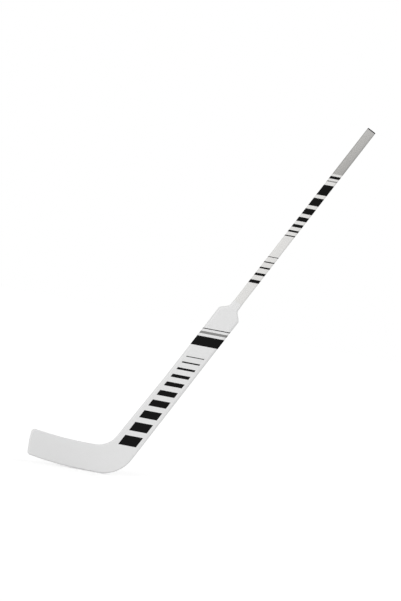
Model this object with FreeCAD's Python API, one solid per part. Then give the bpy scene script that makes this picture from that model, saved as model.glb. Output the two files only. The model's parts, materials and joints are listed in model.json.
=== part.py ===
import FreeCAD, Part
import math
import os

from FreeCAD import Vector

# The stick stands in use on the ice at z = 0, with the toe to -X, the front face to -Y and the
# shaft rising to +X. The origin is the middle of the sole's flat land. Millimetres and degrees.

# Whole stick
LIE_ANGLE = 63.0
STICK_LENGTH = 1385.0
PADDLE_LENGTH = 657.0
BLADE_LENGTH = 305.0
OVERRUN = 60.0

# Shaft tube, drawn as a rounded rectangle round its axis
SHAFT_WIDTH = 30.0
SHAFT_DEPTH = 20.0
SHAFT_CORNER = 5.0
SHAFT_WALL = 2.0
SHAFT_IN_PADDLE = 140.0

# Butt plug
FLANGE_HEIGHT = 4.0
FLANGE_ROUND = 1.6
STEM_LENGTH = 40.0
STEM_WALL = 2.0
STEM_TIP_LENGTH = 5.0
STEM_TIP_CHAMFER = 1.2
STEM_CLEARANCE = 0.8
STEM_RIB_SHARE = 0.25
STEM_RIB_RADIUS = 1.2
STEM_RIB_CLEARANCE = 0.25

# Paddle
PADDLE_WIDTH = 80.0
FACING = 1.2
RAIL_WIDTH = 9.0
PADDLE_EDGE_ROUND = 8.0
FLARE_ANGLE = 1.2
FLARE_ABOVE_HEEL = 350.0
FLARE_RADIUS = 1800.0
TAPER_LOW_ABOVE_JOINT = 60.0
TAPER_LENGTH = 260.0
TAPER_RADIUS = 3000.0

# Shoulders and the neck, where the laminate laps up the shaft and feathers out
SHOULDER_ANGLE = 45.0
SHOULDER_RADIUS = 12.0
SHOULDER_BLOCK_LENGTH = 60.0
NECK_RADIUS = 12.0
NECK_LAP = 24.0
NECK_FOOT = 1.4
NECK_EDGE = 0.6
NECK_RAMP = 44.0
NECK_RAMP_RADIUS = 900.0

# Blade outline
BLADE_HEIGHT = 88.6
BLADE_JOINT_ABOVE_HEEL = 122.0
SOLE_LAND = 38.0
HEEL_RADIUS = 112.0
ROCKER_RADIUS = 1000.0
TOP_EDGE_RADIUS = 1000.0
TOP_EDGE_RISE_START = 34.0
THROAT_RADIUS = 75.0
TOE_RADIUS = 12.0
TOE_BOW = 2.5
TOE_BOW_SHARE = 0.9

# Blade thickness and its curve towards the front
BLADE_HEEL_THICKNESS = 17.0
BLADE_TOE_THICKNESS = 12.2
BLADE_EDGE_ROUND = 5.0
CURVE_START = 37.0
CURVE_RADIUS = 1150.0

# Pieces inside the paddle and the blade
TENON_LENGTH = 90.0
GLUE_GAP = 0.1
DAM_LENGTH = 30.0
TONGUE_LENGTH = 42.0
TONGUE_THICKNESS = 8.0
HEEL_BLOCK_START = 5.0
RIB_HEIGHT = 5.0
RIB_TONGUE = 20.0
TOE_CAP_LENGTH = 21.0

# How square a face lies to the shaft, and how far a side leans, to tell the rim's edges apart
SQUARE_SHARE = 0.999
SIDE_SHARE = 0.5

# Edge rounds, kept within the thickness that they are cut from
ROUND_LIMIT_SHARE = 0.45
BLADE_ROUND = min(BLADE_EDGE_ROUND, ROUND_LIMIT_SHARE * BLADE_TOE_THICKNESS)
PADDLE_ROUND = min(PADDLE_EDGE_ROUND, ROUND_LIMIT_SHARE * SHAFT_DEPTH)
NECK_ROUND = SHAFT_CORNER + NECK_EDGE

# Directions
BACKWARD = Vector(0, 1, 0)
UPWARD = Vector(0, 0, 1)

# The shaft's axis: how far along it things lie, from the point where it meets the ice
LIE = math.radians(LIE_ANGLE)
AXIS = Vector(math.cos(LIE), 0, math.sin(LIE))
ACROSS = Vector(math.sin(LIE), 0, -math.cos(LIE))
HEEL_X = SOLE_LAND / 2 + HEEL_RADIUS * math.tan(LIE / 2)
FOOT_X = HEEL_X - PADDLE_WIDTH / 2 / math.sin(LIE)
HEEL_ALONG = PADDLE_WIDTH / 2 / math.tan(LIE)
JOINT_ALONG = HEEL_ALONG + BLADE_JOINT_ABOVE_HEEL
SHOULDER_ALONG = HEEL_ALONG + PADDLE_LENGTH
NECK_ALONG = SHOULDER_ALONG + NECK_LAP
BLOCK_ALONG = SHOULDER_ALONG - SHOULDER_BLOCK_LENGTH
TUBE_ALONG = SHOULDER_ALONG - SHAFT_IN_PADDLE
BUTT_ALONG = HEEL_ALONG + STICK_LENGTH
TUBE_END_ALONG = BUTT_ALONG - FLANGE_HEIGHT

# The blade, along the ice
TOE_X = HEEL_X - BLADE_LENGTH
TOE_CAP_X = TOE_X + TOE_CAP_LENGTH
LAND_END_X = SOLE_LAND / 2
PADDLE_HALF_THICKNESS = SHAFT_DEPTH / 2 + FACING
DEEP = BLADE_LENGTH + PADDLE_WIDTH


def on_shaft(along, across, depth=0):
    """Point at a distance along the shaft's axis, across it to the heel side, and back from it."""
    return Vector(FOOT_X, depth, 0) + AXIS * along + ACROSS * across


def on_front(x, z):
    """Point of the stick's middle plane, seen from the front."""
    return Vector(x, 0, z)


def corner_on_shaft(along, across, radius=0):
    """Corner of the front outline, given along and across the shaft."""
    point = on_shaft(along, across)
    return (point.x, point.z, radius)


def turn_at(before, corner, after):
    """Angle by which a path turns at a corner."""
    inward = math.atan2(corner[1] - before[1], corner[0] - before[0])
    outward = math.atan2(after[1] - corner[1], after[0] - corner[0])
    return math.remainder(outward - inward, math.tau)


def bend(before, corner, after, setback):
    """Corner whose arc starts and ends a set length from it along both sides."""
    radius = setback / math.tan(abs(turn_at(before, corner, after)) / 2)
    return (corner[0], corner[1], radius)


def towards(start, end, length):
    """Point on the way from start to end, at a length from start."""
    share = length / math.dist(start[:2], end[:2])
    return tuple(a + (b - a) * share for a, b in zip(start[:2], end[:2]))


def rounded_wire(corners, place):
    """Closed wire of straight sides, with a tangent arc at each corner that has a radius."""
    marks = []
    for index, corner in enumerate(corners):
        before = corners[index - 1]
        after = corners[(index + 1) % len(corners)]
        radius = corner[2]
        if radius == 0:
            marks.append((corner[:2], None, corner[:2]))
            continue
        half = abs(turn_at(before, corner, after)) / 2
        setback = radius * math.tan(half)
        start = towards(corner, before, setback)
        end = towards(corner, after, setback)
        chord_middle = tuple((a + b) / 2 for a, b in zip(start, end))
        crown = towards(corner, chord_middle, radius / math.cos(half) - radius)
        marks.append((start, crown, end))
    edges = []
    for index, (start, crown, end) in enumerate(marks):
        if crown is not None:
            edges.append(Part.Arc(place(*start), place(*crown), place(*end)).toShape())
        following = marks[(index + 1) % len(marks)][0]
        edges.append(Part.LineSegment(place(*end), place(*following)).toShape())
    return Part.Wire(edges)


def inset(corners, depth):
    """The same outline, counterclockwise, moved inward by a depth with concentric corners."""
    sides = []
    for index, corner in enumerate(corners):
        after = corners[(index + 1) % len(corners)]
        angle = math.atan2(after[1] - corner[1], after[0] - corner[0])
        shift = (-math.sin(angle) * depth, math.cos(angle) * depth)
        sides.append((corner[0] + shift[0], corner[1] + shift[1], angle))
    moved = []
    for index, corner in enumerate(corners):
        x0, z0, angle0 = sides[index - 1]
        x1, z1, angle1 = sides[index]
        cross = math.sin(angle1 - angle0)
        run = ((x1 - x0) * math.sin(angle1) - (z1 - z0) * math.cos(angle1)) / cross
        radius = corner[2] - math.copysign(depth, cross) if corner[2] else 0
        moved.append((x0 + run * math.cos(angle0), z0 + run * math.sin(angle0), max(radius, 0)))
    return moved


def front_prism(corners):
    """Body that runs straight through the stick from front to back inside a front outline."""
    face = Part.Face(rounded_wire(corners, on_front))
    face.translate(Vector(0, -DEEP, 0))
    return face.extrude(Vector(0, 2 * DEEP, 0))


def shaft_slice(start, end, reach=DEEP):
    """Body between two square cuts across the shaft."""
    corners = [corner_on_shaft(start, -reach), corner_on_shaft(start, reach)]
    corners += [corner_on_shaft(end, reach), corner_on_shaft(end, -reach)]
    return front_prism(corners)


def blade_slice(start, end):
    """Body between two upright cuts across the blade."""
    top = BLADE_HEIGHT + DEEP
    return front_prism([(start, -OVERRUN, 0), (end, -OVERRUN, 0), (end, top, 0), (start, top, 0)])


def shaft_bar(start, end, width, depth, radius):
    """Straight bar of rounded rectangle section along the shaft's axis."""
    corners = [(-width / 2, -depth / 2, radius), (width / 2, -depth / 2, radius)]
    corners += [(width / 2, depth / 2, radius), (-width / 2, depth / 2, radius)]
    wire = rounded_wire(corners, lambda across, back: on_shaft(start, across, back))
    return Part.Face(wire).extrude(AXIS * (end - start))


def in_tube(start, end, gap):
    """Straight bar inside the shaft tube, a gap clear of its bore."""
    inward = SHAFT_WALL + gap
    radius = max(SHAFT_CORNER - inward, 0)
    return shaft_bar(start, end, SHAFT_WIDTH - 2 * inward, SHAFT_DEPTH - 2 * inward, radius)


def stick_outline():
    """Corners of the paddle and blade seen from the front, counterclockwise from the heel."""
    half = PADDLE_WIDTH / 2
    foot = SHAFT_WIDTH / 2 + NECK_FOOT
    edge = SHAFT_WIDTH / 2 + NECK_EDGE
    shoulder_low = SHOULDER_ALONG - (half - foot) * math.tan(math.radians(SHOULDER_ANGLE))
    corners = [(HEEL_X, 0, HEEL_RADIUS)]
    corners.append(corner_on_shaft(shoulder_low, half, SHOULDER_RADIUS))
    corners.append(corner_on_shaft(SHOULDER_ALONG, foot, NECK_RADIUS))
    corners.append(corner_on_shaft(NECK_ALONG, edge))
    corners.append(corner_on_shaft(NECK_ALONG, -edge))
    corners.append(corner_on_shaft(SHOULDER_ALONG, -foot, NECK_RADIUS))
    corners.append(corner_on_shaft(shoulder_low, -half, SHOULDER_RADIUS))
    corners.append(flare_corner())
    corners.append(throat_corner())
    return corners + blade_end_corners()


def flare_corner():
    """Corner above which the paddle's toe-side edge runs along the shaft, and below which it flares."""
    return corner_on_shaft(HEEL_ALONG + FLARE_ABOVE_HEEL, -PADDLE_WIDTH / 2, FLARE_RADIUS)


def throat_corner():
    """Corner where the flared edge of the paddle meets the line of the blade's top edge."""
    flare_x, flare_z, radius = flare_corner()
    run = (flare_z - BLADE_HEIGHT) / math.tan(LIE - math.radians(FLARE_ANGLE))
    return (flare_x - run, BLADE_HEIGHT, THROAT_RADIUS)


def blade_end_corners():
    """Corners from the blade's rising top edge, round the toe, to the rocker of the sole."""
    corner_run = 2 * TOE_RADIUS
    top_span = -TOP_EDGE_RISE_START - TOE_X - corner_run
    top_turn = math.asin(top_span / TOP_EDGE_RADIUS)
    top_x = -TOP_EDGE_RISE_START - TOP_EDGE_RADIUS * math.tan(top_turn / 2)
    sole_span = -LAND_END_X - TOE_X - corner_run
    sole_turn = math.asin(sole_span / ROCKER_RADIUS)
    sole_x = -LAND_END_X - ROCKER_RADIUS * math.tan(sole_turn / 2)
    corner_x = TOE_X + TOE_BOW
    toe_top = (corner_x, BLADE_HEIGHT + (top_x - corner_x) * math.tan(top_turn), TOE_RADIUS)
    toe_low = (corner_x, (sole_x - corner_x) * math.tan(sole_turn), TOE_RADIUS)
    toe_middle = (TOE_X, (toe_top[1] + toe_low[1]) / 2)
    half_toe = (toe_top[1] - toe_low[1]) / 2
    bow = bend(toe_top, toe_middle, toe_low, (half_toe - corner_run) * TOE_BOW_SHARE)
    corners = [(top_x, BLADE_HEIGHT, TOP_EDGE_RADIUS), toe_top, bow, toe_low]
    corners.append((sole_x, 0, ROCKER_RADIUS))
    return corners


def paddle_taper(half_joint, half_top, bend_radius):
    """Corners where the paddle's thickness changes, seen from its edge, from the upper one down."""
    low = JOINT_ALONG + TAPER_LOW_ABOVE_JOINT
    return [(low + TAPER_LENGTH, half_top, bend_radius), (low, half_joint, bend_radius)]


def edge_on_prism(corners):
    """Body that runs straight across the paddle inside an outline seen from its edge."""
    wire = rounded_wire(corners, lambda along, forward: on_shaft(along, -PADDLE_WIDTH, -forward))
    return Part.Face(wire).extrude(ACROSS * (2 * PADDLE_WIDTH))


def paddle_front_half():
    """Front half of the paddle's thickness: thin at the blade joint, thicker above, ramped at the neck."""
    half_joint = BLADE_HEEL_THICKNESS / 2
    corners = [(JOINT_ALONG, 0, 0), (NECK_ALONG, 0, 0), (NECK_ALONG, SHAFT_DEPTH / 2 + NECK_EDGE, 0)]
    corners.append((SHOULDER_ALONG - NECK_RAMP, PADDLE_HALF_THICKNESS, NECK_RAMP_RADIUS))
    corners += paddle_taper(half_joint, PADDLE_HALF_THICKNESS, TAPER_RADIUS)
    corners.append((JOINT_ALONG, half_joint, 0))
    return edge_on_prism(corners)


def core_room():
    """Room behind the paddle's front facing, past its ends and middle, creased where the facing bends."""
    half_joint = BLADE_HEEL_THICKNESS / 2 - FACING
    start = JOINT_ALONG - OVERRUN
    end = NECK_ALONG + OVERRUN
    corners = [(start, -OVERRUN, 0), (end, -OVERRUN, 0), (end, SHAFT_DEPTH / 2, 0)]
    corners += paddle_taper(half_joint, SHAFT_DEPTH / 2, 0)
    corners.append((start, half_joint, 0))
    return edge_on_prism(corners)


def blade_slab(skin):
    """Thickness of the blade seen from above, with its curve, less a skin on both faces."""
    half = BLADE_HEEL_THICKNESS / 2
    run = CURVE_START - TOE_X
    front_drop = CURVE_RADIUS - math.sqrt(CURVE_RADIUS ** 2 - run ** 2)
    back_drop = front_drop + BLADE_HEEL_THICKNESS - BLADE_TOE_THICKNESS
    start_x = on_shaft(JOINT_ALONG, PADDLE_WIDTH).x
    front = curved_side(start_x, run, -half + skin, front_drop)
    back = curved_side(start_x, run, half - skin, back_drop)
    wire = rounded_wire(front + back[::-1], lambda x, y: Vector(x, y, -OVERRUN))
    return Part.Face(wire).extrude(Vector(0, 0, DEEP + OVERRUN))


def curved_side(start_x, run, back, drop):
    """One face of the blade seen from above: straight, then an arc that drops forward by the toe."""
    radius = (run ** 2 + drop ** 2) / (2 * drop)
    turn = math.asin((run + TOE_BOW) / radius)
    corner_x = CURVE_START - radius * math.tan(turn / 2)
    end_x = TOE_X - OVERRUN
    end = (end_x, back - (corner_x - end_x) * math.tan(turn), 0)
    return [(start_x, back, 0), (corner_x, back, radius), end]


def rim_edges(body):
    """Edges where the outline's sides meet the front and back, apart from the square cuts."""
    found = []
    for number, edge in enumerate(body.Edges, start=1):
        middle = edge.valueAt((edge.FirstParameter + edge.LastParameter) / 2)
        faces = body.ancestorsOfType(edge, Part.Face)
        normals = [face.normalAt(*face.Surface.parameter(middle)) for face in faces]
        leans = sorted(abs(normal.y) for normal in normals)
        square_cut = any(abs(normal.dot(AXIS)) > SQUARE_SHARE for normal in normals)
        if leans[0] < SIDE_SHARE < leans[1] and not square_cut:
            found.append((number, edge))
    return found


def paddle_round(along):
    """Edge radius of the paddle: the blade's at the joint, full above it, the shaft's at the neck."""
    taper = TAPER_LOW_ABOVE_JOINT + TAPER_LENGTH
    ramp_start = SHOULDER_ALONG - NECK_RAMP
    if along < ramp_start:
        share = min((along - JOINT_ALONG) / taper, 1)
        return BLADE_ROUND + (PADDLE_ROUND - BLADE_ROUND) * share
    share = (along - ramp_start) / (NECK_ALONG - ramp_start)
    return PADDLE_ROUND + (NECK_ROUND - PADDLE_ROUND) * share


def with_paddle_rounds(half):
    """The paddle's front half with its front rim rounded by radii that change along the shaft. The edges of
    each side are one chain, which runs the way that its first edge does."""
    document = FreeCAD.newDocument()
    base = document.addObject("Part::Feature", "base")
    base.Shape = half
    rounds = document.addObject("Part::Fillet", "rounds")
    rounds.Base = base
    foot = on_shaft(0, 0)
    toe_side, heel_side = [], []
    for number, edge in rim_edges(half):
        middle = edge.CenterOfMass
        if middle.y < -FACING:
            ends = [edge.valueAt(edge.FirstParameter), edge.valueAt(edge.LastParameter)]
            run = [(end - foot).dot(AXIS) for end in ends]
            side = heel_side if (middle - foot).dot(ACROSS) > 0 else toe_side
            side.append((number, run))
    table = []
    for side in (toe_side, heel_side):
        first_run = side[0][1]
        for number, run in side:
            start, end = sorted(run, reverse=first_run[0] > first_run[1])
            table.append((number, paddle_round(start), paddle_round(end)))
    rounds.Edges = table
    document.recompute()
    rounded = rounds.Shape.Solids[0].copy()
    FreeCAD.closeDocument(document.Name)
    return rounded


def mirrored(shape):
    """The same shape on the other face of the stick."""
    return shape.mirror(Vector(0, 0, 0), BACKWARD)


def sorted_solids(shape, direction):
    """The separate solids of a shape, in order along a direction."""
    return sorted(shape.Solids, key=lambda solid: solid.CenterOfMass.dot(direction))


def shaft_parts():
    """Hollow tube from inside the paddle to the butt, and the foam bung in its bore."""
    tube = shaft_bar(TUBE_ALONG, TUBE_END_ALONG, SHAFT_WIDTH, SHAFT_DEPTH, SHAFT_CORNER)
    tube = tube.cut(in_tube(TUBE_ALONG, TUBE_END_ALONG, 0))
    dam_start = TUBE_ALONG + TENON_LENGTH
    return {"shaft_tube": tube, "shaft_foam_dam": in_tube(dam_start, dam_start + DAM_LENGTH, 0)}


def butt_plug():
    """Moulded end plug: a rounded flange on the tube's end and a hollow ribbed stem in its bore."""
    flange = shaft_bar(TUBE_END_ALONG, BUTT_ALONG, SHAFT_WIDTH, SHAFT_DEPTH, SHAFT_CORNER)
    end_face = max(flange.Faces, key=lambda face: face.CenterOfMass.dot(AXIS))
    flange = flange.makeFillet(FLANGE_ROUND, end_face.Edges)
    tip_along = TUBE_END_ALONG - STEM_LENGTH
    stem = in_tube(tip_along, TUBE_END_ALONG, STEM_CLEARANCE)
    tip_face = min(stem.Faces, key=lambda face: face.CenterOfMass.dot(AXIS))
    stem = stem.makeChamfer(STEM_TIP_CHAMFER, tip_face.Edges)
    inward = SHAFT_WALL + STEM_RIB_CLEARANCE + STEM_RIB_RADIUS
    rib_across = STEM_RIB_SHARE * SHAFT_WIDTH
    ribs = [(side * rib_across, face * (SHAFT_DEPTH / 2 - inward)) for side in (-1, 1) for face in (-1, 1)]
    ribs += [(side * (SHAFT_WIDTH / 2 - inward), 0) for side in (-1, 1)]
    rib_start = tip_along + STEM_TIP_LENGTH
    for across, back in ribs:
        start = on_shaft(rib_start, across, back)
        rib = Part.makeCylinder(STEM_RIB_RADIUS, TUBE_END_ALONG - rib_start, start, AXIS)
        stem = stem.fuse(rib)
    hollow = in_tube(tip_along, TUBE_END_ALONG, STEM_CLEARANCE + STEM_WALL)
    web = shaft_bar(rib_start, TUBE_END_ALONG, STEM_WALL, SHAFT_DEPTH, 0).common(hollow)
    stem = stem.cut(hollow)
    return flange.fuse([stem, web]).removeSplitter().Solids[0]


def paddle_parts(inner, whole):
    """Facings, spine, foam, rails and shoulder blocks between the blade joint and the neck."""
    half = with_paddle_rounds(whole.common(paddle_front_half()))
    front = half.cut(core_room()).Solids[0]
    half_core = half.common(core_room())
    core = half_core.fuse(mirrored(half_core)).removeSplitter()
    tube_room = shaft_bar(TUBE_ALONG, TUBE_END_ALONG, SHAFT_WIDTH, SHAFT_DEPTH, SHAFT_CORNER)
    blocks = core.common(shaft_slice(BLOCK_ALONG, NECK_ALONG)).cut(tube_room)
    below = core.common(shaft_slice(JOINT_ALONG, BLOCK_ALONG))
    spine_room = shaft_slice(JOINT_ALONG, TUBE_ALONG, SHAFT_WIDTH / 2)
    rails = below.cut(inner)
    foams = below.common(inner).cut([tube_room, spine_room])
    tenon = in_tube(TUBE_ALONG, TUBE_ALONG + TENON_LENGTH, GLUE_GAP)
    spine = core.common(spine_room).fuse([tenon, spine_tongue()])
    parts = {"paddle_face_front": front, "paddle_face_back": mirrored(front), "paddle_spine": spine}
    for name, pair in (("shoulder_block", blocks), ("paddle_rail", rails), ("paddle_foam", foams)):
        toe_side, heel_side = sorted_solids(pair, ACROSS)
        parts[name + "_toe_side"] = toe_side
        parts[name + "_heel_side"] = heel_side
    return parts


def spine_tongue():
    """Tongue at the lower end of the spine, let into the heel block."""
    start = JOINT_ALONG - TONGUE_LENGTH
    return shaft_bar(start, JOINT_ALONG, SHAFT_WIDTH, TONGUE_THICKNESS, 0)


def rib_room():
    """Strip along the middle of the blade that follows its rocker, from the heel to the toe."""
    top_edge, toe_top, bow, toe_low, rocker = blade_end_corners()
    bend_x = (top_edge[0] + rocker[0]) / 2
    start_x = HEEL_BLOCK_START + RIB_TONGUE
    line = [(start_x, BLADE_HEIGHT / 2, 0), (bend_x, BLADE_HEIGHT / 2, ROCKER_RADIUS), (bow[0], bow[1], 0)]
    lower = [(x, z - RIB_HEIGHT / 2, radius) for x, z, radius in line]
    upper = [(x, z + RIB_HEIGHT / 2, radius) for x, z, radius in line]
    return front_prism(lower + upper[::-1])


def blade_parts(inner, whole):
    """Facings, heel block, rib, foam and edge pieces below the blade joint."""
    below_joint = shaft_slice(JOINT_ALONG - DEEP, JOINT_ALONG)
    blade = whole.common(blade_slab(0)).common(below_joint)
    blade = blade.makeFillet(BLADE_ROUND, [edge for number, edge in rim_edges(blade)])
    core_slab = blade_slab(FACING)
    front, back = sorted_solids(blade.cut(core_slab), BACKWARD)
    core = blade.common(core_slab)
    band = core.cut(inner)
    filled = core.common(inner)
    throat_turn = LIE - math.radians(FLARE_ANGLE)
    throat_start = throat_corner()[0] - THROAT_RADIUS * math.tan(throat_turn / 2)
    far = HEEL_X + DEEP
    rib = filled.common(rib_room()).common(blade_slice(TOE_CAP_X, far))
    heel_block = filled.common(blade_slice(HEEL_BLOCK_START, far)).cut([rib, spine_tongue()])
    foams = filled.common(blade_slice(TOE_CAP_X, HEEL_BLOCK_START)).cut(rib)
    foam_lower, foam_upper = sorted_solids(foams, UPWARD)
    return {
        "blade_face_front": front,
        "blade_face_back": back,
        "heel_block": heel_block,
        "blade_rib": rib,
        "blade_foam_lower": foam_lower,
        "blade_foam_upper": foam_upper,
        "blade_toe_cap": core.common(blade_slice(TOE_X - OVERRUN, TOE_CAP_X)),
        "blade_sole_strip": sorted_solids(band.common(blade_slice(TOE_CAP_X, LAND_END_X)), UPWARD)[0],
        "blade_top_rail": sorted_solids(band.common(blade_slice(TOE_CAP_X, throat_start)), UPWARD)[-1],
        "heel_rail": sorted_solids(band.common(blade_slice(LAND_END_X, far)), ACROSS)[-1],
        "throat_rail": sorted_solids(band.common(blade_slice(throat_start, far)), ACROSS)[0],
    }


def make_parts():
    """Every piece of the stick, by name."""
    outline = stick_outline()
    whole = front_prism(outline)
    inner = front_prism(inset(outline, RAIL_WIDTH))
    parts = {"butt_plug": butt_plug()}
    parts.update(shaft_parts())
    parts.update(paddle_parts(inner, whole))
    parts.update(blade_parts(inner, whole))
    return parts


os.makedirs("parts", exist_ok=True)
for name, shape in make_parts().items():
    print(name, shape.isValid(), len(shape.Solids), round(shape.Volume))
    shape.exportStep(f"parts/{name}.step")
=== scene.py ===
import json
import math

import bpy
import numpy as np
from mathutils import Matrix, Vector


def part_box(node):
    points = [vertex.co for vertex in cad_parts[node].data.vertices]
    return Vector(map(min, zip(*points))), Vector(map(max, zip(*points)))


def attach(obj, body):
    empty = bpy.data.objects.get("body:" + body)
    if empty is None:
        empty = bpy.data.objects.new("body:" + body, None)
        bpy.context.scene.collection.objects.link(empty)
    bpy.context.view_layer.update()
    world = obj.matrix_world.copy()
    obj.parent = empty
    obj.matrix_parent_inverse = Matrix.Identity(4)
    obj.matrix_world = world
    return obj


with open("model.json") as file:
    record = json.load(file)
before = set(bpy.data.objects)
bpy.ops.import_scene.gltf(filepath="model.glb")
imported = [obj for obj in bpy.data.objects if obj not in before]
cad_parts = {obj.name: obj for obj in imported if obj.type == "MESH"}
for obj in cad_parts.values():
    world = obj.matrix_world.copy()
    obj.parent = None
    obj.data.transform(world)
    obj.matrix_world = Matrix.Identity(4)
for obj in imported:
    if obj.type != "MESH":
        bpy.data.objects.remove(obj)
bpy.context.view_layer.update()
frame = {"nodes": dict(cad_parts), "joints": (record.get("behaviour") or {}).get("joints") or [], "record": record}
nodes = frame["nodes"]


# Foam cores of the paddle and the blade, and the bung in the shaft: slabs sawn from rigid closed-cell
# board and glued between the facings, so every face shows a fine crumb of cut cells.
FOAM_CELL = 0.0014
FOAM_PIT, FOAM_PIT_STRENGTH = FOAM_CELL / 4, 0.6
# The darker foam colour is painted shade in the cells' hollows.
FOAM_PALE, FOAM_HOLLOW_SHADE = "#E6DEC2", "#C9BD96"


def linear(colour):
    """An sRGB hex colour as linear red, green, blue and full alpha: the standard curve, undone."""
    shares = np.array([int(colour[start:start + 2], 16) for start in (1, 3, 5)]) / 255
    light = np.where(shares <= 0.04045, shares / 12.92, ((shares + 0.055) / 1.055) ** 2.4)
    return (*light.tolist(), 1.0)


def add(tree, kind, inputs=None, **settings):
    """A shader node with its settings, whose inputs take plain values or the outputs of other nodes.

    Inputs go by name, or by place where names repeat: a Mix node has its share at 0, two numbers at 2 and 3,
    and two colours at 6 and 7.
    """
    made = tree.nodes.new("ShaderNode" + kind)
    for name, value in settings.items():
        setattr(made, name, value)
    for name, value in (inputs or {}).items():
        if isinstance(value, bpy.types.NodeSocket):
            tree.links.new(value, made.inputs[name])
        else:
            made.inputs[name].default_value = value
    return made


def new_finish(name, **values):
    """A material, its node tree, its main shader with plain values set, and the piece's coordinates."""
    finish = bpy.data.materials.new(name)
    finish.use_nodes = True
    tree = finish.node_tree
    shader = tree.nodes["Principled BSDF"]
    for socket, value in values.items():
        shader.inputs[socket.replace("_", " ")].default_value = value
    return finish, tree, shader, add(tree, "TexCoord").outputs["Object"]


def coat(finish, *names):
    """Puts a finish in the material slot of CAD nodes."""
    for name in names:
        nodes[name].material_slots[0].material = finish


# Rigid PVC foam, sawn: no gloss, and pale cell walls round slightly deeper hollows, which are painted darker as
# painted shade.
closed_cell_foam, tree, shader, place = new_finish("closed_cell_foam", Roughness=0.92, IOR=1.45)
cells = add(tree, "TexVoronoi", {"Vector": place, "Scale": 1 / FOAM_CELL}).outputs["Distance"]
crumb_and_shade = add(tree, "Mix", {0: cells, 6: linear(FOAM_HOLLOW_SHADE), 7: linear(FOAM_PALE)}, data_type="RGBA")
pits = add(tree, "Bump", {"Height": cells, "Strength": FOAM_PIT_STRENGTH, "Distance": FOAM_PIT})
tree.links.new(crumb_and_shade.outputs[2], shader.inputs["Base Color"])
tree.links.new(pits.outputs[0], shader.inputs["Normal"])
coat(closed_cell_foam, "paddle_foam_toe_side", "paddle_foam_heel_side", "blade_foam_lower",
     "blade_foam_upper", "shaft_foam_dam")


# Spine of the paddle and block in the heel: straight-grained aspen, sawn along the shaft and left bare,
# because it is glued in between the foams and under the facings.
ASPEN_GRAIN = (0.09, 0.0016, 0.0016)
ASPEN_RELIEF, ASPEN_RELIEF_STRENGTH = 0.0002, 0.4
ASPEN_PALE, ASPEN_DEEP = "#DDC59B", "#B98F5C"

# The plug slides along the shaft, so its joint gives the shaft's line, and the lie is its angle to the ice.
axis = np.array(frame["joints"][0]["axis"])
lie = math.atan2(axis[2], axis[0])

# Bare aspen: matte, with thin darker streaks drawn out along the shaft.
sawn_aspen, tree, shader, place = new_finish("sawn_aspen", Roughness=0.7, IOR=1.5)
sawn = add(tree, "Mapping", {"Vector": place, "Rotation": (0, -lie, 0), "Scale": ASPEN_GRAIN},
           vector_type="TEXTURE")
grain = add(tree, "TexNoise", {"Vector": sawn.outputs[0], "Scale": 1.0, "Detail": 4.0}).outputs[0]
streaks = add(tree, "Mix", {0: grain, 6: linear(ASPEN_DEEP), 7: linear(ASPEN_PALE)}, data_type="RGBA")
fibres = add(tree, "Bump", {"Height": grain, "Strength": ASPEN_RELIEF_STRENGTH, "Distance": ASPEN_RELIEF})
tree.links.new(streaks.outputs[2], shader.inputs["Base Color"])
tree.links.new(fibres.outputs[0], shader.inputs["Normal"])
coat(sawn_aspen, "paddle_spine", "heel_block")


# Rib along the middle of the blade: a bar of carbon laminate, pressed in layers and let into the heel
# block, which keeps the thin blade from folding at a shot.
TOW, TOW_RELIEF, TOW_RELIEF_STRENGTH = 0.002, 0.0001, 0.3
# The lighter carbon colour is painted sheen.
CARBON_DARK, CARBON_PAINTED_SHEEN = "#151617", "#34363A"

# Carbon cloth in epoxy: near black, with every other tow painted lighter in a checker, a painted sheen for the
# light that each tow catches in turn.
carbon_laminate, tree, shader, place = new_finish("carbon_laminate", Roughness=0.38, IOR=1.55)
tow_checker_and_sheen = add(tree, "TexChecker", {"Vector": place, "Scale": 1 / TOW, "Color1": linear(CARBON_DARK),
                                "Color2": linear(CARBON_PAINTED_SHEEN)}).outputs
press = add(tree, "Bump", {"Height": tow_checker_and_sheen["Fac"], "Strength": TOW_RELIEF_STRENGTH, "Distance": TOW_RELIEF})
tree.links.new(tow_checker_and_sheen["Color"], shader.inputs["Base Color"])
tree.links.new(press.outputs[0], shader.inputs["Normal"])
coat(carbon_laminate, "blade_rib")


# Edge pieces of the paddle and blade: birch rails, shoulder blocks, toe cap and sole strip, glued round
# the core, routed to a round edge together with the facings and lacquered white.
WHITE, WHITE_SHADE = "#E6E6E6", "#E1E1E1"
LACQUER = {"IOR": 1.5, "Coat_Weight": 0.15, "Coat_Roughness": 0.2}
LACQUER_SMOOTH, LACQUER_ROUGH = 0.36, 0.48
CLOUD_SIZE, PEEL_SIZE, PEEL_DEPTH = 0.09, 0.0016, 0.00002
BIRCH_GRAIN, BIRCH_RELIEF = (0.06, 0.0025, 0.0025), 0.00004
RAILS = ("paddle_rail_toe_side", "paddle_rail_heel_side", "shoulder_block_toe_side",
         "shoulder_block_heel_side")
BLADE_EDGES = ("blade_toe_cap", "blade_sole_strip", "blade_top_rail", "heel_rail", "throat_rail")


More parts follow.
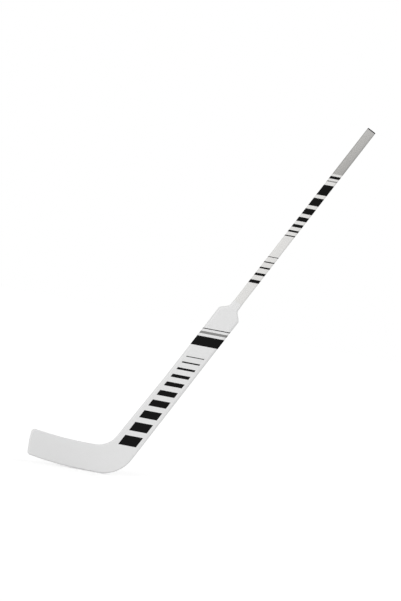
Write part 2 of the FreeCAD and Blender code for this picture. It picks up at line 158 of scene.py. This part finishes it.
def spray_white(tree, shader, place, ground, relief, pale=WHITE, shade=WHITE_SHADE):
    """White lacquer over a ground: clouds of tone and gloss, and orange peel on the ground's relief."""
    clouds = add(tree, "TexNoise", {"Vector": place, "Scale": 1 / CLOUD_SIZE, "Detail": 2.0}).outputs[0]
    tone = add(tree, "Mix", {0: clouds, 6: linear(shade), 7: linear(pale)}, data_type="RGBA").outputs[2]
    gloss = add(tree, "MapRange", {"Value": clouds, "To Min": LACQUER_SMOOTH,
                                   "To Max": LACQUER_ROUGH}).outputs[0]
    swell = add(tree, "Bump", {"Height": ground, "Distance": relief})
    peel = add(tree, "TexNoise", {"Vector": place, "Scale": 1 / PEEL_SIZE}).outputs[0]
    skin = add(tree, "Bump", {"Height": peel, "Distance": PEEL_DEPTH, "Normal": swell.outputs[0]})
    tree.links.new(tone, shader.inputs["Base Color"])
    tree.links.new(gloss, shader.inputs["Roughness"])
    tree.links.new(skin.outputs[0], shader.inputs["Normal"])
    return tone, gloss


# Lacquered birch: the white stays even, and the wood's grain stands very faintly under the satin gloss.
for name, turn, covered in (("lacquered_birch_rail", lie, RAILS),
                            ("lacquered_birch_blade_edge", 0, BLADE_EDGES)):
    birch, tree, shader, place = new_finish(name, **LACQUER)
    sawn = add(tree, "Mapping", {"Vector": place, "Rotation": (0, -turn, 0), "Scale": BIRCH_GRAIN},
               vector_type="TEXTURE")
    grain = add(tree, "TexNoise", {"Vector": sawn.outputs[0], "Scale": 1.0, "Detail": 2.0}).outputs[0]
    spray_white(tree, shader, place, grain, BIRCH_RELIEF)
    coat(birch, *covered)


# Facings of the paddle and blade: glass-fibre cloth in resin pressed over the core, sanded and sprayed
# white. The paddle's cloth runs along the shaft, and the blade's along the ice.
THREAD, WEAVE_RELIEF = 0.003, 0.0001
ONE_WAVE = math.pi / 10
PADDLE_FACES = ("paddle_face_front", "paddle_face_back")
BLADE_FACES = ("blade_face_front", "blade_face_back")

# Lacquered laminate: a clean satin white whose plain weave shows only as a slight ripple in the gloss.
# A wave of the texture is a tenth of pi long at scale 1, so that scale gives one wave per thread.
for name, turn, covered in (("lacquered_paddle_cloth", lie, PADDLE_FACES),
                            ("lacquered_blade_cloth", 0, BLADE_FACES)):
    cloth, tree, shader, place = new_finish(name, **LACQUER)
    laid = add(tree, "Mapping", {"Vector": place, "Rotation": (0, -turn, 0), "Scale": (THREAD,) * 3},
               vector_type="TEXTURE").outputs[0]
    warp = add(tree, "TexWave", {"Vector": laid, "Scale": ONE_WAVE}, bands_direction="X").outputs["Fac"]
    weft = add(tree, "TexWave", {"Vector": laid, "Scale": ONE_WAVE}, bands_direction="Z").outputs["Fac"]
    weave = add(tree, "Math", {0: warp, 1: weft}, operation="MULTIPLY").outputs[0]
    spray_white(tree, shader, place, weave, WEAVE_RELIEF)
    coat(cloth, *covered)


# Shaft: a hollow rectangular tube of rolled carbon and glass cloth, glued into the paddle, sanded and
# sprayed white outside. Its bore stays bare and black.
TUBE_FIBRE, TUBE_RELIEF = (0.03, 0.003, 0.003), 0.00004
TUBE_WHITE, TUBE_SHADE = "#E2E1DF", "#DCDBD9"
BORE_BLACK, BORE_ROUGHNESS = "#1A1B1C", 0.6

# The black reaches this far from the shaft's line, a hair past the walls of the bore.
BORE_REACH_ACROSS, BORE_REACH_BACK = 0.0132, 0.0082

# Directions across the shaft and back from it, and the foot, where the shaft's line meets the ice.
across = np.array([axis[2], 0, -axis[0]])
backward = np.array([0, 1, 0])
grip = next(mount["pos_m"] for mount in frame["record"]["mounts"] if mount["name"] == "hand_grip")
foot = np.array(grip) - axis * grip[2] / axis[2]

# Lacquered carbon and glass tube: satin white with a trace of long fibres, and matte black in the bore.
tube_laminate, tree, shader, place = new_finish("lacquered_composite_tube", **LACQUER)
rolled = add(tree, "Mapping", {"Vector": place, "Rotation": (0, -lie, 0), "Scale": TUBE_FIBRE},
             vector_type="TEXTURE")
fibres = add(tree, "TexNoise", {"Vector": rolled.outputs[0], "Scale": 1.0, "Detail": 2.0}).outputs[0]
white, gloss = spray_white(tree, shader, place, fibres, TUBE_RELIEF, TUBE_WHITE, TUBE_SHADE)
within = []
for direction, half in ((across, BORE_REACH_ACROSS), (backward, BORE_REACH_BACK)):
    aside = add(tree, "VectorMath", {0: place, 1: direction.tolist()}, operation="DOT_PRODUCT")
    middle = float(foot @ direction)
    near = add(tree, "Math", {0: aside.outputs["Value"], 1: middle, 2: half}, operation="COMPARE")
    within.append(near.outputs[0])
bore = add(tree, "Math", {0: within[0], 1: within[1]}, operation="MULTIPLY").outputs[0]
skin = add(tree, "Mix", {0: bore, 6: white, 7: linear(BORE_BLACK)}, data_type="RGBA")
dull = add(tree, "Mix", {0: bore, 2: gloss, 3: BORE_ROUGHNESS})
tree.links.new(skin.outputs[2], shader.inputs["Base Color"])
tree.links.new(dull.outputs[0], shader.inputs["Roughness"])
coat(tube_laminate, "shaft_tube")


# Printed film on the paddle: bars that thin out up the paddle, level with the ice when the stick stands
# at its lie, and bands that wrap round it below the shoulders. Screen-printed transfers, a hair proud.
FILM = 0.00008
INK, INK_THIN = "#0B0B0B", "#121212"
GREY_INK, GREY_THIN = "#868685", "#929291"
INK_SMOOTH, INK_ROUGH = 0.45, 0.6
SQUEEGEE, SCREEN, SCREEN_DEPTH = 0.012, 0.0006, 0.00001

# Bars and bands start at places along the shaft, measured from its foot. A band is a start and a width.
BAR_START, BAR_GAP = 0.116, 0.019
BAR_WIDTHS = (0.038, 0.034, 0.029, 0.025, 0.020, 0.016, 0.012, 0.008, 0.005, 0.003)
BAR_REACH, BAR_ROWS = 0.026, 5
PADDLE_BLACK_BANDS = ((0.522, 0.036), (0.586, 0.003))
PADDLE_GREY_BANDS = ((0.568, 0.009),)
PADDLE_EDGE, EDGE_STEPS = 0.008, 13
CREASE = math.radians(40)

# The paddle thickens over this stretch, measured from its lower end.
TAPER_START, TAPER_LENGTH = 0.060, 0.260


def reach(node, direction):
    """Least and greatest place of a node's corners along a direction from the foot: dot products."""
    corners = np.empty(len(nodes[node].data.vertices) * 3, np.float32)
    nodes[node].data.vertices.foreach_get("co", corners)
    places = (corners.reshape(-1, 3) - foot) @ direction
    return places.min(), places.max()


# The shear that lays a band level with the ice, the taper's two places and the half depths there.
slant = axis[0] / axis[2]
paddle_start = reach("paddle_face_front", axis)[0]
taper_ends = paddle_start + np.array([TAPER_START, TAPER_START + TAPER_LENGTH])
thin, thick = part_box("blade_face_back")[1].y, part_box("paddle_face_back")[1].y
paddle_section = (reach("paddle_rail_heel_side", across)[1], thick, PADDLE_EDGE)


def on_shaft(along, aside, depth):
    """Points at distances along the shaft, across it and back from it: the foot plus three directions."""
    shares = np.stack(np.broadcast_arrays(along, aside, depth), -1)
    return foot + shares @ np.stack([axis, across, backward])


def film_piece(name, grids, closed, finish):
    """Mesh of grids that rides on the stick: columns run round, and rows do too or end in flat caps."""
    points, faces, first = [], [], 0
    for grid in grids:
        rows, columns = grid.shape[:2]
        here = first + np.arange(rows * columns).reshape(rows, columns)
        aside, ahead = np.roll(here, -1, 1), np.roll(here, -1, 0)
        quads = np.stack([here, ahead, np.roll(aside, -1, 0), aside], -1)
        faces += (quads if closed else quads[:-1]).reshape(-1, 4).tolist()
        if not closed:
            faces += [here[0].tolist(), here[-1][::-1].tolist()]
        points.append(grid.reshape(-1, 3))
        first += rows * columns
    mesh = bpy.data.meshes.new(name)
    mesh.from_pydata(np.concatenate(points).tolist(), [], faces)
    mesh.shade_smooth()
    mesh.set_sharp_from_angle(angle=CREASE)
    mesh.materials.append(finish)
    piece = bpy.data.objects.new(name, mesh)
    bpy.context.scene.collection.objects.link(piece)
    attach(piece, "stick")


def in_a_row(start, widths, gap):
    """Start and width of each band in a row: every start adds up the widths and gaps before it."""
    starts = start + np.cumsum((0,) + widths[:-1]) + gap * np.arange(len(widths))
    return list(zip(starts, widths))


def bar(start, width, side):
    """Slanted bar on one face: a flat four-cornered section carried up the shaft in rows.

    Each row is sheared level with the ice, and its depth follows the paddle's taper.
    """
    aside = np.array([-1, 1, 1, -1]) * BAR_REACH
    lift = np.array([1, 1, -1, -1]) * FILM
    along = np.linspace(start, start + width, BAR_ROWS)[:, None] + slant * aside
    depth = np.interp(along, taper_ends, [thin, thick])
    grid = on_shaft(along, aside, side * (depth + lift))
    return grid if side > 0 else grid[:, ::-1]


def rounded_section(half_width, half_depth, radius, grow):
    """Rounded rectangle: quarter circles about four corner centres, with radii grown by a film's depth."""
    quarter = np.repeat(np.arange(4), EDGE_STEPS) * math.pi / 2
    angle = quarter + np.tile(np.linspace(0, math.pi / 2, EDGE_STEPS), 4)
    corner = quarter + math.pi / 4
    aside = np.sign(np.cos(corner)) * (half_width - radius) + (radius + grow) * np.cos(angle)
    depth = np.sign(np.sin(corner)) * (half_depth - radius) + (radius + grow) * np.sin(angle)
    return aside, depth


def wrapped_band(section, start, end, end_slant):
    """Film round a section: its outline sheared along the shaft, from start to end and back beneath."""
    loops = []
    for along, shear, grow in ((start, slant, FILM), (start, slant, -FILM), (end, end_slant, -FILM),
                               (end, end_slant, FILM)):
        aside, depth = rounded_section(*section, grow)
        loops.append(on_shaft(along + shear * aside, aside, depth))
    return np.stack(loops)


def print_bands(name, section, bands, ink):
    """One piece of slanted bands round a section, each from its start to its start plus its width."""
    wraps = [wrapped_band(section, start, start + width, slant) for start, width in bands]
    film_piece(name, wraps, True, ink)


def print_ink(name, colour, thin_colour):
    """Screen ink: the squeegee leaves it a little thinner in places, and the screen a fine even grain."""
    finish, tree, shader, place = new_finish(name, IOR=1.5, Specular_IOR_Level=0.05)
    drag = add(tree, "TexNoise", {"Vector": place, "Scale": 1 / SQUEEGEE, "Detail": 3.0}).outputs[0]
    tone = add(tree, "Mix", {0: drag, 6: linear(colour), 7: linear(thin_colour)}, data_type="RGBA")
    gloss = add(tree, "MapRange", {"Value": drag, "To Min": INK_SMOOTH, "To Max": INK_ROUGH})
    mesh_mark = add(tree, "TexVoronoi", {"Vector": place, "Scale": 1 / SCREEN}).outputs["Distance"]
    grain = add(tree, "Bump", {"Height": mesh_mark, "Distance": SCREEN_DEPTH})
    tree.links.new(tone.outputs[2], shader.inputs["Base Color"])
    tree.links.new(gloss.outputs[0], shader.inputs["Roughness"])
    tree.links.new(grain.outputs[0], shader.inputs["Normal"])
    return finish


# Black and grey screen ink: dense and matte beside the satin white. The screen's mark is drawn coarser
# than the real one, to show close up.
black_ink = print_ink("black_screen_ink", INK, INK_THIN)
grey_ink = print_ink("grey_screen_ink", GREY_INK, GREY_THIN)
for face, side in (("front", -1), ("back", 1)):
    bars = [bar(start, width, side) for start, width in in_a_row(BAR_START, BAR_WIDTHS, BAR_GAP)]
    film_piece("paddle_bars_" + face, bars, False, black_ink)
print_bands("paddle_black_bands", paddle_section, PADDLE_BLACK_BANDS, black_ink)
print_bands("paddle_grey_bands", paddle_section, PADDLE_GREY_BANDS, grey_ink)


# Printed film on the shaft: thin rings above the paddle, wider ones towards the butt, and a grey line.
# The same transfers as on the paddle, wrapped round the tube.
SHAFT_EDGE = 0.005
RING_START, RING_GAP = 0.782, 0.018
RING_WIDTHS = (0.012, 0.009, 0.006, 0.004, 0.0025)
STRIPE_START, STRIPE_GAP = 0.972, 0.013
STRIPE_WIDTHS = (0.004, 0.007, 0.011, 0.016, 0.022, 0.030, 0.040)
BUTT_BLACK_RING, BUTT_GREY_RING = (1.206, 0.010), (1.194, 0.004)
shaft_section = (reach("shaft_tube", across)[1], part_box("shaft_tube")[1].y, SHAFT_EDGE)
rings = [BUTT_BLACK_RING]
rings += in_a_row(RING_START, RING_WIDTHS, RING_GAP)
rings += in_a_row(STRIPE_START, STRIPE_WIDTHS, STRIPE_GAP)
print_bands("shaft_black_rings", shaft_section, rings, black_ink)
print_bands("shaft_grey_ring", shaft_section, [BUTT_GREY_RING], grey_ink)


# Silver-grey coat on the butt, where the top hand holds: a satin paint with fine flake, sprayed over the
# white from a slanted masked edge up to the tube's end.
SILVER, SILVER_SHADE = "#AFAEAC", "#979693"
COAT_START, COAT_END_GAP = 1.224, 0.0004
FLAKE, FLAKE_PART = 0.0009, 0.45
FLAKE_SMOOTH, FLAKE_ROUGH = 0.38, 0.58
coat_end = reach("shaft_tube", axis)[1] - COAT_END_GAP

# Satin silver paint: grey, a little metallic, with a grain of flake, drawn coarser than the real one to show. It
# pales towards the butt's end.
silver_paint, tree, shader, place = new_finish("satin_silver_paint", Metallic=0.3)
flake_cells = add(tree, "TexVoronoi", {"Vector": place, "Scale": 1 / FLAKE}).outputs["Color"]
flakes = add(tree, "SeparateColor", {"Color": flake_cells}).outputs["Red"]
along = add(tree, "VectorMath", {0: place, 1: axis.tolist()}, operation="DOT_PRODUCT").outputs["Value"]
towards_butt = add(tree, "MapRange", {"Value": along, "From Min": float(foot @ axis + COAT_START),
                               "From Max": float(foot @ axis + coat_end)}).outputs[0]
pale = add(tree, "Mix", {0: FLAKE_PART, 2: towards_butt, 3: flakes}).outputs[0]
tone = add(tree, "Mix", {0: pale, 6: linear(SILVER_SHADE), 7: linear(SILVER)}, data_type="RGBA")
gloss = add(tree, "MapRange", {"Value": flakes, "To Min": FLAKE_SMOOTH, "To Max": FLAKE_ROUGH})
tree.links.new(tone.outputs[2], shader.inputs["Base Color"])
tree.links.new(gloss.outputs[0], shader.inputs["Roughness"])
silver_wrap = wrapped_band(shaft_section, COAT_START, coat_end, 0)
film_piece("silver_butt_coat", [silver_wrap], True, silver_paint)


# Butt plug: one moulding of black thermoplastic rubber, a flange on the tube's end and a ribbed stem that
# grips its bore. It pulls out by hand.
# The lighter black is painted highlight on the pimples' tops.
RUBBER, RUBBER_LIT_TOPS = "#161616", "#222222"
SPARK, SPARK_DEPTH, SPARK_STRENGTH = 0.0007, 0.00008, 0.5

# Moulded rubber: matte black with the fine even pimple of a spark-eroded tool, whose tops are painted a little
# lighter as a painted highlight.
moulded_rubber, tree, shader, place = new_finish("moulded_rubber", Roughness=0.68, IOR=1.52,
                                                 Specular_IOR_Level=0.25)
pimples = add(tree, "TexNoise", {"Vector": place, "Scale": 1 / SPARK}).outputs[0]
tone = add(tree, "Mix", {0: pimples, 6: linear(RUBBER), 7: linear(RUBBER_LIT_TOPS)}, data_type="RGBA")
grit = add(tree, "Bump", {"Height": pimples, "Strength": SPARK_STRENGTH, "Distance": SPARK_DEPTH})
tree.links.new(tone.outputs[2], shader.inputs["Base Color"])
tree.links.new(grit.outputs[0], shader.inputs["Normal"])
coat(moulded_rubber, "butt_plug")


# Studio: a white floor that the stick stands on and an even white surround, lit by a broad, low, soft key
# from the front left and a broader, weaker lamp from behind on the right.
FLOOR_REACH = 40.0
FLOOR_WHITE, FLOOR_BOUNCE, LIGHT_WHITE = "#FDFDFD", "#E1E1E1", "#FFFFFF"
FLOOR_GLOW = 0.22
SURROUND, SURROUND_SEEN = 0.67, 1.0
KEY_FROM, KEY_POWER, KEY_SPREAD = (-0.28, -0.93, 0.22), 1.05, 40
BACK_FROM, BACK_POWER, BACK_SPREAD = (0.65, 0.62, 0.43), 0.75, 60


def seen_directly(tree):
    """1 for rays from the camera, off gloss or through glass, else 0: the greatest of the three flags."""
    path = add(tree, "LightPath").outputs
    glossy = add(tree, "Math", {0: path["Is Camera Ray"], 1: path["Is Glossy Ray"]}, operation="MAXIMUM")
    seen = add(tree, "Math", {0: glossy.outputs[0], 1: path["Is Transmission Ray"]}, operation="MAXIMUM")
    return seen.outputs[0]


floor_corners = np.array([(-1, -1, 0), (1, -1, 0), (1, 1, 0), (-1, 1, 0)]) * FLOOR_REACH
floor_mesh = bpy.data.meshes.new("floor")
floor_mesh.from_pydata(floor_corners.tolist(), [], [(0, 1, 2, 3)])
floor = bpy.data.objects.new("floor", floor_mesh)
bpy.context.scene.collection.objects.link(floor)

# White floor paint: greyer to the light that it throws back, and seen as white where no shadow falls,
# with a slight glow to the camera for what the lamps leave short.
floor_paint, tree, shader = new_finish("white_floor_paint", Roughness=1.0, Specular_IOR_Level=0.0,
                                       Emission_Color=linear(LIGHT_WHITE))[:3]
seen = seen_directly(tree)
shade = add(tree, "Mix", {0: seen, 6: linear(FLOOR_BOUNCE), 7: linear(FLOOR_WHITE)}, data_type="RGBA")
glow = add(tree, "Math", {0: seen, 1: FLOOR_GLOW}, operation="MULTIPLY")
tree.links.new(shade.outputs[2], shader.inputs["Base Color"])
tree.links.new(glow.outputs[0], shader.inputs["Emission Strength"])
floor_mesh.materials.append(floor_paint)

surround = bpy.data.worlds.new("surround")
surround.use_nodes = True
tree = surround.node_tree
sky = tree.nodes["Background"].inputs
strength = add(tree, "MapRange", {"Value": seen_directly(tree), "To Min": SURROUND,
                                  "To Max": SURROUND_SEEN})
sky["Color"].default_value = linear(LIGHT_WHITE)
tree.links.new(strength.outputs[0], sky["Strength"])
bpy.context.scene.world = surround

for name, source, power, spread in (("key", KEY_FROM, KEY_POWER, KEY_SPREAD),
                                    ("back_fill", BACK_FROM, BACK_POWER, BACK_SPREAD)):
    lamp = bpy.data.lights.new(name, "SUN")
    lamp.energy = power
    lamp.angle = math.radians(spread)
    sun = bpy.data.objects.new(name, lamp)
    heading = math.atan2(source[0], -source[1])
    tilt = math.atan2(math.hypot(source[0], source[1]), source[2])
    sun.rotation_euler = (tilt, 0, heading)
    bpy.context.scene.collection.objects.link(sun)


# Camera: square on to the stick's front, tipped so that the shaft leans as it is shown, far enough away
# that the sides stay nearly parallel.
AIM_X, AIM_Z = 0.2403, 0.6087
DISTANCE = 6.0
FRAME_HEIGHT = 1.9438
SENSOR = 36.0
TIP = math.radians(10.85)

camera_data = bpy.data.cameras.new("camera")
camera_data.sensor_width = SENSOR
camera_data.lens = SENSOR * DISTANCE / FRAME_HEIGHT
camera = bpy.data.objects.new("camera", camera_data)
right = (math.cos(TIP), 0, math.sin(TIP))
up = (-math.sin(TIP), 0, math.cos(TIP))
turned = Matrix((right, up, (0, -1, 0))).transposed().to_4x4()
camera.matrix_world = Matrix.Translation((AIM_X, -DISTANCE, AIM_Z)) @ turned
bpy.context.scene.collection.objects.link(camera)
bpy.context.scene.camera = camera
bpy.context.scene.view_settings.view_transform = "Standard"
